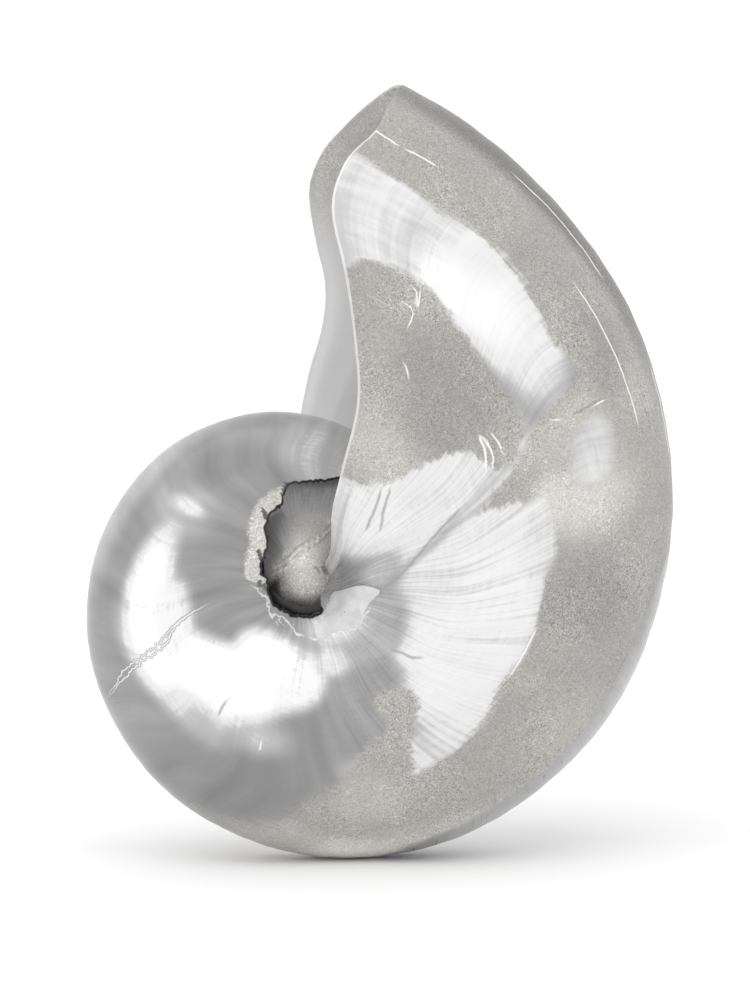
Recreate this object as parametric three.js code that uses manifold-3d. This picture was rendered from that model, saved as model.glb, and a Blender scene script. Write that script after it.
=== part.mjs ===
// The shell of an adult pearly nautilus, standing upright on its venter (the outer rim of the coil).
// The coil lies in the XZ plane and is symmetric about it. The aperture opens towards -X, at the top left.
// The near flank, with the broken umbilicus, faces -Y. Units are millimetres and degrees, +Z is up.
//
// Every surface is swept about the pole, the axis of the coil, which runs along Y. A place on the wall
// has two coordinates: the growth angle, counted about the pole from +X towards the aperture, and the
// girth, from -1 at the near umbilical seam through 0 on the venter to +1 at the far umbilical seam.
import * as THREE from "three";
import { mergeVertices } from "three/addons/utils/BufferGeometryUtils.js";
import Module from "manifold-3d";

const wasm = await Module();
wasm.setup();

// ---- driving dimensions ----
const VENTER_RADIUS = 78.3; // pole to venter at growth angle 0
const EXPANSION = 0.17; // the venter radius grows by this factor's exponential for each radian
const TURN_RATIO = Math.exp(-2 * Math.PI * EXPANSION); // size of a whorl against the one outside it
const LIP_ANGLE = 78.3; // growth angle at which the venter ends
const APEX_ANGLE = -760; // growth angle at which the first chamber begins
const FLARE_START = -5; // growth angle from which the adult whorl widens beyond the spiral
const FLARE_SHARE = 0.085; // how much it has widened at the lip
const FLARE_POWER = 1.7;
const WALL_SHARE = 0.0135; // wall thickness as a share of the venter radius
const WALL_LEAST = 0.45;
const WALL_EDGE = 0.93; // girth at which the wall stops, just clear of the whorl inside it
const CUTTER_EDGE = 0.97; // the same for the sheet that keeps other pieces clear of the wall
const CLEARANCE = 0.3; // gap between pieces that touch on the real shell

const SEPTUM_COUNT = 30;
const LAST_SEPTUM = -42; // growth angle of the septum that closes the body chamber
const SEPTUM_STEP = 23;
const SEPTUM_DISH = 15; // how far the middle of a septum lies behind its edge, in growth angle
const SEPTUM_SHARE = 0.0085; // thickness as a share of the venter radius
const SEPTUM_LEAST = 0.35;
const FACET_SAG = 0.008; // how far the wall's flat facets lie inside its true curve, as a share of the radius
const SIPHUNCLE_PLACE = 0.66; // distance from the pole as a share of the venter radius
const SIPHUNCLE_SHARE = 0.015; // radius as a share of the venter radius
const SIPHUNCLE_LEAST = 0.5;
const SIPHUNCLE_BORE = 0.55; // bore against outer radius
const CALLUS_THICKNESS = 1.1;

// Half of the whorl's section, from the venter to the umbilical seam, as shares of the venter radius:
// [distance from the pole, half width].
const HALF_SECTION = [
  [1.0, 0.0],
  [0.985, 0.085],
  [0.94, 0.165],
  [0.86, 0.235],
  [0.74, 0.295],
  [0.6, 0.338],
  [0.46, 0.362],
  [0.34, 0.366],
  [0.23, 0.345],
  [0.145, 0.295],
  [0.09, 0.225],
  [0.062, 0.15],
  [0.055, 0.1],
];

// How far the lip, and each growth line parallel to it, runs ahead of its place on the venter:
// [girth, degrees]. The two sides of this adult lip differ a little.
const NEAR_LEAD = [
  [0, 0],
  [0.16, 2.3],
  [0.23, 4],
  [0.29, 7.7],
  [0.35, 9.4],
  [0.41, 7],
  [0.47, 4.2],
  [0.55, 0.5],
  [0.66, 0],
  [0.74, -5],
  [0.86, -28],
  [1, -50],
];
const FAR_LEAD = [
  [0, 0],
  [0.16, 2.7],
  [0.23, 5],
  [0.29, 7.6],
  [0.33, 8.5],
  [0.39, 6.6],
  [0.44, 3.5],
  [0.48, 2.9],
  [0.56, 4.8],
  [0.66, 5],
  [0.74, -4],
  [0.86, -28],
  [1, -50],
];

// The ragged hole broken through the near flank round the umbilicus: [x, z] from the pole.
const BREAK_OUTLINE = [
  [-5.2, 19.9],
  [-2.4, 21.6],
  [8.5, 22.0],
  [8.0, 12.0],
  [5.2, 4.8],
  [4.2, -2.0],
  [2.3, -7.2],
  [-2.5, -7.5],
  [-6.4, -4.6],
  [-9.0, -1.0],
  [-10.3, 1.8],
  [-8.8, 8.0],
  [-9.6, 13.5],
];
const BREAK_NEAREST = -22; // the hole goes through the flank only, between these two depths along Y
const BREAK_DEEPEST = -8.2;
const SEPTA_BREAK_DEEPEST = -4; // the septa behind the hole have broken back further
const SEPTA_BREAK_FROM = -300; // septa inside this growth angle lie in the whorl that is still whole

// The pad of callus on the umbilical shoulder at the near end of the lip: [x, z] from the pole.
const NEAR_CALLUS_OUTLINE = [
  [4.4, -5.0],
  [12.5, -0.6],
  [18.5, -1.6],
  [15.0, -7.0],
  [9.0, -9.0],
  [4.8, -11.0],
];
const FAR_CALLUS_RADIUS = 6.5;
const FAR_CALLUS_LOW = 9; // its lowest and highest places along Y
const FAR_CALLUS_HIGH = 15.5;

// ---- the spiral ----
const radians = THREE.MathUtils.degToRad;

function mirrored(half) {
  const near = half.slice(1).reverse();
  return [...near.map(([distance, width]) => [distance, -width]), ...half];
}

const sectionCurve = new THREE.SplineCurve(
  mirrored(HALF_SECTION).map(([distance, width]) => new THREE.Vector2(distance, width)),
);

// Place in the section as shares of the venter radius: x is the distance from the pole, y the width.
function sectionPoint(girth) {
  return sectionCurve.getPoint((girth + 1) / 2);
}

// Unit vector in the section, pointing out of the whorl.
function sectionNormal(girth) {
  const step = 0.01;
  const before = sectionPoint(Math.max(-1, girth - step));
  const after = sectionPoint(Math.min(1, girth + step));
  const along = after.sub(before).normalize();
  return new THREE.Vector2(along.y, -along.x);
}

function venterRadius(angle, girth = 0) {
  const spiral = VENTER_RADIUS * Math.exp(EXPANSION * radians(angle));
  const grown = Math.max(0, (angle - FLARE_START) / (LIP_ANGLE - FLARE_START));
  return spiral * (1 + FLARE_SHARE * grown ** FLARE_POWER * (1 - girth ** 4));
}

function wallThickness(angle) {
  return Math.max(WALL_LEAST, WALL_SHARE * venterRadius(angle));
}

// A point at a growth angle, from its distance to the pole and its width, both in millimetres.
function aboutPole(angle, distance, width) {
  const turn = radians(angle);
  return new THREE.Vector3(distance * Math.cos(turn), width, distance * Math.sin(turn));
}

function lookUp(table, x) {
  const next = Math.max(1, table.findIndex(([start]) => start >= x));
  const [x0, y0] = table[next - 1];
  const [x1, y1] = table[next];
  return y0 + ((x - x0) / (x1 - x0)) * (y1 - y0);
}

function lead(girth) {
  return lookUp(girth < 0 ? NEAR_LEAD : FAR_LEAD, Math.abs(girth));
}

// ---- closed bodies ----
// A sheet with two faces over a grid of rows and columns. front and back give each grid point's place
// on the two faces. Cells that keep refuses are left out, and every free edge is closed with a rim.
// The cells' diagonals run opposite ways in the two halves, so a symmetric sheet has symmetric facets.
function closedSheet(rows, columns, front, back, keep = () => true) {
  const positions = [];
  const index = [];
  const across = columns + 1;
  const total = (rows + 1) * across;
  for (const face of [front, back]) {
    for (let row = 0; row <= rows; row += 1) {
      for (let column = 0; column <= columns; column += 1) {
        positions.push(...face(row, column).toArray());
      }
    }
  }
  const kept = (row, column) =>
    row >= 0 && row < rows && column >= 0 && column < columns && keep(row, column);
  const rim = (a, b) => index.push(a, b, b + total, a, b + total, a + total);
  for (let row = 0; row < rows; row += 1) {
    for (let column = 0; column < columns; column += 1) {
      if (!kept(row, column)) continue;
      const a = row * across + column;
      const b = a + 1;
      const c = b + across;
      const d = a + across;
      const [p, q, r, s] = 2 * column < columns ? [a, b, c, d] : [b, c, d, a];
      index.push(p, q, r, p, r, s);
      index.push(p + total, r + total, q + total, p + total, s + total, r + total);
      if (!kept(row - 1, column)) rim(b, a);
      if (!kept(row, column + 1)) rim(c, b);
      if (!kept(row + 1, column)) rim(d, c);
      if (!kept(row, column - 1)) rim(a, d);
    }
  }
  return closedGeometry(positions, index);
}

function closedGeometry(positions, index) {
  const geometry = new THREE.BufferGeometry();
  geometry.setAttribute("position", new THREE.Float32BufferAttribute(positions, 3));
  geometry.setIndex(index);
  return geometry;
}

function solidOf(source) {
  const geometry = source.clone();
  geometry.deleteAttribute("normal");
  geometry.deleteAttribute("uv");
  const merged = mergeVertices(geometry, 1e-4);
  const vertProperties = new Float32Array(merged.getAttribute("position").array);
  const triVerts = new Uint32Array(merged.getIndex().array);
  return new wasm.Manifold(new wasm.Mesh({ numProp: 3, vertProperties, triVerts }));
}

// The largest body of a solid, without the crumbs that a cut can leave.
function geometryOf(solid) {
  const bodies = solid.decompose().sort((a, b) => b.volume() - a.volume());
  const mesh = bodies[0].getMesh();
  return closedGeometry(Array.from(mesh.vertProperties), Array.from(mesh.triVerts));
}

// A solid of constant outline [x, z] between two depths along Y.
function prism(outline, nearest, deepest) {
  const shape = new THREE.Shape(outline.map(([x, z]) => new THREE.Vector2(x, z)));
  const depth = deepest - nearest;
  const geometry = new THREE.ExtrudeGeometry(shape, { depth, bevelEnabled: false });
  geometry.rotateX(Math.PI / 2);
  geometry.translate(0, deepest, 0);
  return solidOf(geometry);
}

// ---- the wall ----
const GIRTH_CELLS = 24;
const ROW_STEP = 11.5;
const INNER_ROW_STEP = 17;
const INNER_FROM = -300; // inside this growth angle the rows lie further apart
const APEX_ROUND = 30; // the first chamber rounds off over this growth angle
const APEX_LEAST = 0.35;
const CHAMBER_MIDDLE = 0.45; // the middle of the section, towards which the first chamber closes

function growthRows() {
  const rows = [];
  let angle = LIP_ANGLE;
  while (angle > APEX_ANGLE) {
    rows.push(angle);
    angle -= angle > INNER_FROM ? ROW_STEP : INNER_ROW_STEP;
  }
  return rows.reverse();
}

// The first chamber is narrower: the section shrinks towards its own middle near the apex.
function apexScale(row) {
  const left = Math.min(1, (row - APEX_ANGLE) / APEX_ROUND);
  return Math.max(APEX_LEAST, Math.sqrt(1 - (1 - left) ** 2));
}

function wallPoint(row, girth, outwards) {
  const angle = row + lead(girth);
  const radius = venterRadius(angle, girth);
  const place = sectionPoint(girth).multiplyScalar(radius);
  place.addScaledVector(sectionNormal(girth), outwards);
  const middle = new THREE.Vector2(CHAMBER_MIDDLE * radius, 0);
  place.sub(middle).multiplyScalar(apexScale(row)).add(middle);
  return aboutPole(angle, place.x, place.y);
}

// The wall as one sheet from the first chamber to the lip, its outer face moved outwards.
function wallSheet(outwards, edge = WALL_EDGE) {
  const rows = growthRows();
  const girthAt = (column) => edge * ((2 * column) / GIRTH_CELLS - 1);
  const outside = (row, column) => wallPoint(rows[row], girthAt(column), outwards);
  const inside = (row, column) => {
    const girth = girthAt(column);
    return wallPoint(rows[row], girth, -wallThickness(rows[row] + lead(girth)));
  };
  return solidOf(closedSheet(rows.length - 1, GIRTH_CELLS, outside, inside));
}

function shellWall() {
  return geometryOf(wallSheet(0).subtract(prism(BREAK_OUTLINE, BREAK_NEAREST, BREAK_DEEPEST)));
}

// ---- septa and siphuncle ----
const SEPTUM_DEPTH_CELLS = 4;
const SEPTUM_EDGE = 0.88; // girth at which a septum's edge turns from the wall to the whorl inside
const SEPTUM_BACK = 0.62; // the same place in the girth of the whorl inside
const DISH_POWER = 0.7;

function siphuncleRadius(angle) {
  return Math.max(SIPHUNCLE_LEAST, SIPHUNCLE_SHARE * venterRadius(angle));
}

// A dished plate across the chamber. Columns run round the girth, rows from the wall to the whorl
// inside. The four cells in the middle are left out, and the ring round them is drawn to a circle
// that lets the siphuncle through.
function septum(edgeAngle, cells) {
  const radius = venterRadius(edgeAngle);
  const inset = wallThickness(edgeAngle) + CLEARANCE + FACET_SAG * radius;
  const half = cells / 2;
  const middleRow = SEPTUM_DEPTH_CELLS / 2;
  const hole = (siphuncleRadius(edgeAngle) + CLEARANCE) / radius;
  const thickness = Math.max(SEPTUM_LEAST, SEPTUM_SHARE * radius);

  const place = (row, column) => {
    const along = (column - half) / half;
    const depth = row / SEPTUM_DEPTH_CELLS;
    const byWall = sectionPoint(along * SEPTUM_EDGE);
    byWall.addScaledVector(sectionNormal(along * SEPTUM_EDGE), -inset / radius);
    const byWhorl = sectionPoint(along * SEPTUM_BACK).multiplyScalar(TURN_RATIO);
    byWhorl.addScaledVector(sectionNormal(along * SEPTUM_BACK), CLEARANCE / radius);
    const point = byWall.lerp(byWhorl, depth);
    const bowl = ((1 - along ** 2) * 4 * depth * (1 - depth)) ** DISH_POWER;
    return { point, bowl };
  };
  const ring = (row, column) => {
    const turn = Math.atan2(column - half, middleRow - row);
    const x = SIPHUNCLE_PLACE + hole * Math.cos(turn);
    return { point: new THREE.Vector2(x, hole * Math.sin(turn)), bowl: 1 };
  };
  const isRing = (row, column) => Math.abs(row - middleRow) <= 1 && Math.abs(column - half) <= 1;
  const face = (side) => (row, column) => {
    const { point, bowl } = isRing(row, column) ? ring(row, column) : place(row, column);
    const distance = point.x * radius;
    const angle = edgeAngle - SEPTUM_DISH * bowl;
    const half = THREE.MathUtils.radToDeg(thickness / 2 / distance);
    const shrink = venterRadius(angle) / radius;
    return aboutPole(angle + side * half, distance * shrink, point.y * radius * shrink);
  };
  const keep = (row, column) =>
    Math.abs(row + 0.5 - middleRow) > 1 || Math.abs(column + 0.5 - half) > 1;
  const plate = closedSheet(SEPTUM_DEPTH_CELLS, cells, face(1), face(-1), keep);
  if (edgeAngle < SEPTA_BREAK_FROM) return plate;
  const hidden = prism(BREAK_OUTLINE, BREAK_NEAREST, SEPTA_BREAK_DEEPEST);
  return geometryOf(solidOf(plate).subtract(hidden));
}

const SIPHUNCLE_SIDES = 6;
const SIPHUNCLE_STEP = 13;

function siphuncle() {
  const first = LAST_SEPTUM - SEPTUM_DISH - (SEPTUM_COUNT - 1) * SEPTUM_STEP;
  const last = LAST_SEPTUM - SEPTUM_DISH + 4;
  const steps = Math.round((last - first) / SIPHUNCLE_STEP);
  const face = (share) => (row, column) => {
    const angle = first + ((last - first) * row) / steps;
    const turn = (2 * Math.PI * column) / SIPHUNCLE_SIDES;
    const radius = siphuncleRadius(angle) * share;
    const distance = SIPHUNCLE_PLACE * venterRadius(angle) + radius * Math.cos(turn);
    return aboutPole(angle, distance, radius * Math.sin(turn));
  };
  return closedTube(steps, SIPHUNCLE_SIDES, face(1), face(SIPHUNCLE_BORE));
}

// A tube with a bore: two round walls over rows and sides, joined by a ring at each end.
function closedTube(rows, sides, outside, inside) {
  const positions = [];
  const index = [];
  const total = (rows + 1) * sides;
  for (const face of [outside, inside]) {
    for (let row = 0; row <= rows; row += 1) {
      for (let side = 0; side < sides; side += 1) positions.push(...face(row, side).toArray());
    }
  }
  const quad = (a, b, c, d) => index.push(a, b, c, a, c, d);
  for (let side = 0; side < sides; side += 1) {
    const next = (side + 1) % sides;
    for (let row = 0; row < rows; row += 1) {
      const low = row * sides;
      const high = low + sides;
      quad(low + side, low + next, high + next, high + side);
      quad(total + low + side, total + high + side, total + high + next, total + low + next);
    }
    const end = rows * sides;
    quad(side, total + side, total + next, next);
    quad(end + side, end + next, total + end + next, total + end + side);
  }
  return closedGeometry(positions, index);
}

// ---- callus ----
const NEAR_CALLUS_DEPTHS = [-40, -9];

// A thin pad that follows the umbilical shoulder of the body whorl.
function nearCallus() {
  const skin = wallSheet(CLEARANCE + CALLUS_THICKNESS).subtract(wallSheet(CLEARANCE));
  return geometryOf(skin.intersect(prism(NEAR_CALLUS_OUTLINE, ...NEAR_CALLUS_DEPTHS)));
}

// The plug that closes the whole umbilicus on the far side.
function farCallus() {
  const height = FAR_CALLUS_HIGH - FAR_CALLUS_LOW;
  const profile = [
    [0, 0],
    [0.45, 0],
    [0.8, 0.4],
    [1, 0.65],
    [0.85, 0.86],
    [0.45, 0.97],
    [0, 1],
  ].map(([x, y]) => new THREE.Vector2(x * FAR_CALLUS_RADIUS, FAR_CALLUS_LOW + y * height));
  const plug = new THREE.LatheGeometry(profile, 20);
  const clear = wallSheet(CLEARANCE).add(wallSheet(CLEARANCE, CUTTER_EDGE));
  return geometryOf(solidOf(plug).subtract(clear));
}

// ---- materials ----
const finish = (color, roughness) => new THREE.MeshStandardMaterial({ color, roughness, metalness: 0.3 });
const materials = {
  nacre: finish(0xd9d8d6, 0.22),
  septum: finish(0xe2e0dc, 0.3),
  siphuncle: finish(0x8a7f70, 0.7),
  callus: finish(0xe8e6e1, 0.45),
};

// ---- assembly ----
const pieces = new THREE.Group();

function add(name, geometry, material) {
  const mesh = new THREE.Mesh(geometry, material);
  mesh.name = name;
  pieces.add(mesh);
}

add("shell_wall", shellWall(), materials.nacre);
for (let number = 1; number <= SEPTUM_COUNT; number += 1) {
  const angle = LAST_SEPTUM - (SEPTUM_COUNT - number) * SEPTUM_STEP;
  const cells = angle > -400 ? 10 : 6;
  add(`septum_${String(number).padStart(2, "0")}`, septum(angle, cells), materials.septum);
}
add("siphuncle_tube", siphuncle(), materials.siphuncle);
add("umbilical_callus_near", nearCallus(), materials.callus);
add("umbilical_callus_far", farCallus(), materials.callus);

// The origin is the middle of the base of the shell's own box.
const box = new THREE.Box3().setFromObject(pieces);
const centre = box.getCenter(new THREE.Vector3());
pieces.position.set(-centre.x, -centre.y, -box.min.z);

const shell = new THREE.Group();
shell.add(pieces);

export default shell;
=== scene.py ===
"""The looks of the nautilus shell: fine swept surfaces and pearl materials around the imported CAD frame.

The script works in millimetres from the pole, the axis of the coil, and turns to the frame's metres when a
mesh is made. A place on the wall has two coordinates, as in the CAD: the growth angle ("turn", degrees about
the pole, rising towards the lip) and the girth (-1 near umbilical seam, 0 venter, +1 far umbilical seam).
"""

import math

import bmesh
import bpy
import numpy as np
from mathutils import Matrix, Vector, kdtree


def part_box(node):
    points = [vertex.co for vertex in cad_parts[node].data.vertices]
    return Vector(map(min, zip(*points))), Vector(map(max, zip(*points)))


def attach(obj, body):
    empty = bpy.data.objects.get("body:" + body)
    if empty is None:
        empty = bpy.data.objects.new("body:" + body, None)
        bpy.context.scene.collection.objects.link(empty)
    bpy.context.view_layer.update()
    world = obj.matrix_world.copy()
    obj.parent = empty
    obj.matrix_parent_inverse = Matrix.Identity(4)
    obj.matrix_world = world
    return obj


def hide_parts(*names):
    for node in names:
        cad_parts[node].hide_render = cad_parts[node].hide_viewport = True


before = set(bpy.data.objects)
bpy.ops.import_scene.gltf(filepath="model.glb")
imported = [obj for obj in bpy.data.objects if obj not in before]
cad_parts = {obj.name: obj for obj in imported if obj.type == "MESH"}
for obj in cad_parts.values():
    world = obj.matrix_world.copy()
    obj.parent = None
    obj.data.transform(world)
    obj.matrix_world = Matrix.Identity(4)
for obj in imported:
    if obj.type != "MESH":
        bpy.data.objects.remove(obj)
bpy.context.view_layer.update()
SEED = 7

# ---- the spiral: the CAD's, but its near lip runs about 1.5 mm further forward beside the pole ----
VENTER_RADIUS = 78.3
EXPANSION = 0.17
TURN_RATIO = math.exp(-2 * math.pi * EXPANSION)
LIP_TURN = 78.3
APEX_TURN = -740.0
COVER_TURN = LIP_TURN - 372.0  # inside this growth angle the whorl is covered by the next one
FLARE_START = -5.0
FLARE_SHARE = 0.085
FLARE_POWER = 1.7
WALL_SHARE = 0.0135
WALL_LEAST = 0.45
HALF_SECTION = (
    (1, 0), (0.985, 0.085), (0.94, 0.165), (0.86, 0.235), (0.74, 0.295), (0.6, 0.338),
    (0.46, 0.362), (0.34, 0.366), (0.23, 0.345), (0.145, 0.295), (0.09, 0.225), (0.062, 0.15),
    (0.055, 0.1),
)
NEAR_LEAD = (
    (0, 0), (0.16, 2.3), (0.23, 4), (0.29, 7.7), (0.35, 9.4), (0.41, 7), (0.47, 4.2), (0.55, 0.5),
    (0.66, 1), (0.74, 0), (0.86, -19), (1, -40),
)
FAR_LEAD = (
    (0, 0), (0.16, 2.7), (0.23, 5), (0.29, 7.6), (0.33, 8.5), (0.39, 6.6), (0.44, 3.5), (0.48, 2.9),
    (0.56, 4.8), (0.66, 5), (0.74, -4), (0.86, -28), (1, -50),
)


def catmull_rom(p0, p1, p2, p3, t):
    bend = 2 * p0 - 5 * p1 + 4 * p2 - p3
    return 0.5 * (2 * p1 + (p2 - p0) * t + bend * t**2 + (3 * p1 - p0 - 3 * p2 + p3) * t**3)


def section(girth):
    """Distance from the pole and half width at a girth, as shares of the venter radius."""
    near = [(distance, -width) for distance, width in HALF_SECTION[:0:-1]]
    points = np.array(near + list(HALF_SECTION))
    points = np.vstack([2 * points[0] - points[1], points, 2 * points[-1] - points[-2]])
    place = (np.clip(girth, -1, 1) + 1) / 2 * (len(points) - 3)
    first = np.minimum(np.floor(place).astype(int), len(points) - 4)
    return catmull_rom(*(points[first + k] for k in range(4)), (place - first)[..., None])


def section_normal(girth):
    """Unit vector in the section that points out of the whorl."""
    along = section(girth + 0.004) - section(girth - 0.004)
    along /= np.linalg.norm(along, axis=-1, keepdims=True)
    return np.stack([along[..., 1], -along[..., 0]], -1)


def venter_radius(turn, girth=0.0):
    spiral = VENTER_RADIUS * np.exp(EXPANSION * np.radians(turn))
    grown = np.clip((turn - FLARE_START) / (LIP_TURN - FLARE_START), 0, None)
    return spiral * (1 + FLARE_SHARE * grown**FLARE_POWER * (1 - np.abs(girth) ** 4))


def smooth_table(table, x):
    """Smooth curve through the (x, y) rows of a table."""
    xs, ys = np.array(table, float).T
    slopes = np.gradient(ys, xs)
    k = np.clip(np.searchsorted(xs, x) - 1, 0, len(xs) - 2)
    width = xs[k + 1] - xs[k]
    t = np.clip((x - xs[k]) / width, 0, 1)
    left = ys[k] * (1 + 2 * t) * (1 - t) ** 2 + slopes[k] * width * t * (1 - t) ** 2
    right = ys[k + 1] * t**2 * (3 - 2 * t) + slopes[k + 1] * width * t**2 * (t - 1)
    return left + right


def lead(girth):
    """Degrees by which a growth line runs ahead of its place on the venter."""
    near = smooth_table(NEAR_LEAD, np.abs(girth))
    far = smooth_table(FAR_LEAD, np.abs(girth))
    return np.where(girth < 0, near, far)


def about_pole(turn, place):
    """Points in space from their (distance from the pole, width) at a growth angle."""
    angle, distance = np.radians(turn), place[..., 0]
    return np.stack([distance * np.cos(angle), place[..., 1], distance * np.sin(angle)], -1)


# ---- the pole in the frame: the formula's own extents, laid on the CAD wall's box ----
def find_pole():
    turn, girth = np.meshgrid(np.linspace(-280, LIP_TURN, 721), np.linspace(-1, 1, 97))
    place = section(girth) * venter_radius(turn, girth)[..., None]
    points = about_pole(turn, place).reshape(-1, 3)
    low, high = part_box("shell_wall")
    middle = sum(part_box("siphuncle_tube"), Vector()) / 2
    return np.array([high.x * 1000 - points[:, 0].max(), middle.y * 1000, low.z * 1000 - points[:, 2].min()])


POLE = find_pole()


# ---- meshes ----
def new_object(name, data):
    piece = bpy.data.objects.new(name, data)
    bpy.context.scene.collection.objects.link(piece)
    return piece


def new_mesh(name, points, faces, join=1e-7):
    """An object from points in millimetres from the pole; points closer than join (metres) become one."""
    mesh = bpy.data.meshes.new(name)
    place = (points.reshape(-1, 3) + POLE) / 1000
    mesh.from_pydata(place.tolist(), [], faces.tolist() if hasattr(faces, "tolist") else faces)
    mesh.update()
    weld(mesh, join)
    return new_object(name, mesh)


def grid_faces(rows, columns, start=0, flip=False):
    """Quads over a grid of points that is numbered row by row."""
    row, column = np.meshgrid(np.arange(rows - 1), np.arange(columns - 1), indexing="ij")
    a = (start + row * columns + column).ravel()
    quads = np.stack([a, a + 1, a + columns + 1, a + columns], 1)
    return quads[:, ::-1] if flip else quads


def ring_faces(rings, count):
    """Quads between closed rings of points that are numbered ring by ring."""
    ring, k = np.meshgrid(np.arange(rings - 1), np.arange(count), indexing="ij")
    a, b = (ring * count + k).ravel(), (ring * count + (k + 1) % count).ravel()
    return np.stack([a, b, b + count, a + count], 1)


def rim_faces(rows, columns, back):
    """Quads that join the free edges of a front grid to those of a back grid numbered from back."""
    down = np.arange(rows) * columns
    across = np.arange(columns)
    loop = np.concatenate(
        [across, down[1:] + columns - 1, (rows - 1) * columns + across[::-1][1:], down[::-1][1:]]
    )
    a, b = loop[:-1], loop[1:]
    return np.stack([b, a, a + back, b + back], 1)


def weld(mesh, distance):
    work = bmesh.new()
    work.from_mesh(mesh)
    bmesh.ops.remove_doubles(work, verts=work.verts, dist=distance)
    bmesh.ops.recalc_face_normals(work, faces=work.faces)
    work.to_mesh(mesh)
    work.free()


def smooth(piece, angle=40):
    piece.data.shade_smooth()
    piece.data.set_sharp_from_angle(angle=math.radians(angle))


# ---- places on the near flank, laid flat on the plane across the coil's axis ----
def smoothstep(x):
    x = np.clip(x, 0, 1)
    return x * x * (3 - 2 * x)


def girth_at(rim):
    """Girth (0 to 1) at a distance from the pole, as a share of the venter radius."""
    girth = np.linspace(0, 1, 200)
    return np.interp(rim, section(girth)[::-1, 0], girth[::-1])


def flat_place(turn, rim):
    radius = rim * venter_radius(turn, girth_at(rim))
    return np.stack([radius * np.cos(np.radians(turn)), radius * np.sin(np.radians(turn))], -1)


def curve_through(corners, per_span=5, closed=False):
    """Catmull-Rom curve through the corners."""
    corners = np.array(corners, float)
    ends = (corners[-1:], corners[:2]) if closed else (corners[:1], corners[-1:])
    padded = np.vstack([ends[0], corners, ends[1]])
    t = np.linspace(0, 1, per_span, endpoint=False)[:, None]
    parts = [catmull_rom(*padded[k : k + 4], t) for k in range(len(padded) - 3)]
    if not closed:
        parts.append(corners[-1:])
    return np.vstack(parts)


def flat_curve(corners, closed=False):
    turn, rim = curve_through(corners, closed=closed).T
    return flat_place(turn, rim)


FAR_OFF = 99.0  # an offset at which no line shows


def segment_offsets(points, start, end):
    """Signed sideways offset, distance and share along one segment, for each point."""
    along = end - start
    length = max(np.linalg.norm(along), 1e-9)
    away = points - start
    share = np.clip(away @ along / length**2, 0, 1)
    distance = np.linalg.norm(away - share[:, None] * along, axis=1)
    side = np.sign(along[0] * away[:, 1] - along[1] * away[:, 0])
    return side * distance, distance, share


def inside_depth(points, outline):
    """Distance from a closed outline, positive inside it."""
    nearest = np.full(len(points), 1e9)
    inside = np.zeros(len(points), bool)
    for start, end in zip(outline, np.roll(outline, -1, 0)):
        nearest = np.minimum(nearest, segment_offsets(points, start, end)[1])
        crosses = (start[1] > points[:, 1]) != (end[1] > points[:, 1])
        rise = end[1] - start[1] if end[1] != start[1] else 1e-9
        reach = start[0] + (points[:, 1] - start[1]) / rise * (end[0] - start[0])
        inside ^= crosses & (points[:, 0] < reach)
    return np.where(inside, nearest, -nearest)


def line_offsets(points, curves):
    """Signed offset from the nearest curve, a weight that fades at its ends, and the share along it."""
    offset = np.full(len(points), FAR_OFF)
    weight = np.zeros(len(points))
    along = np.zeros(len(points))
    for curve in curves:
        count = len(curve) - 1
        for k in range(count):
            signed, distance, share = segment_offsets(points, curve[k], curve[k + 1])
            closer = distance < np.abs(offset)
            offset = np.where(closer, signed, offset)
            place = (k + share) / count
            weight = np.where(closer, smoothstep(7 * place) * smoothstep(7 * (1 - place)), weight)
            along = np.where(closer, place, along)
    return offset, weight, along


def blend_spots(base, spots, turn, rim):
    """Lays soft oval spots over a base value, each a blend towards the spot's own value."""
    value = base
    for at_turn, at_rim, half_turn, half_rim, lean, spot_value, soft in spots:
        along = (turn - at_turn - lean * (rim - at_rim)) / half_turn
        across = (rim - at_rim) / half_rim
        weight = smoothstep((1 + soft - np.hypot(along, across)) / (2 * soft))
        value = value + (spot_value - value) * weight
    return value


# ---- the wall ----
ROW_STEP = 0.8
INNER_ROW_STEP = 5.0
NEAR_COLUMNS = 82
FAR_COLUMNS = 64
GIRTH_END = 0.985
LIP_THIN = 0.5  # share of the wall's thickness left at the lip
LIP_THIN_OVER = 5.0  # degrees over which the wall thins to it
LIP_ROUND_ROWS = 4
APEX_ROUND = 30.0
APEX_LEAST = 0.2
APEX_MIDDLE = 0.45  # where the closed first chamber's axis lies, as a share of the radius
SWELLING = 0.09  # millimetres on a shell of 100 mm radius
DENT = 0.22


def wall_thickness(turn):
    return np.maximum(WALL_LEAST, WALL_SHARE * venter_radius(turn))


def growth_rows():
    inner = np.arange(APEX_TURN, COVER_TURN, INNER_ROW_STEP)
    outer = np.arange(COVER_TURN, LIP_TURN - ROW_STEP / 2, ROW_STEP)
    return np.concatenate([inner, outer, [LIP_TURN]])


def relief(turn, line, girth):
    """Low swellings along the growth lines and long dents, outwards in millimetres."""
    growth = np.radians(line)
    steps = 0.5 * np.sin(growth * 47) + 0.35 * np.sin(growth * 83 + 1.3)
    steps += 0.3 * np.sin(growth * 31 + 3 * np.sin(growth * 5))
    dents = np.sin(growth * 9 + 2.1) * np.sin(girth * 7 + np.radians(turn) * 2)
    fade = np.clip(1.2 - np.abs(girth), 0, 1)
    return venter_radius(turn) / 100 * fade * (SWELLING * steps + DENT * dents)


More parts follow.
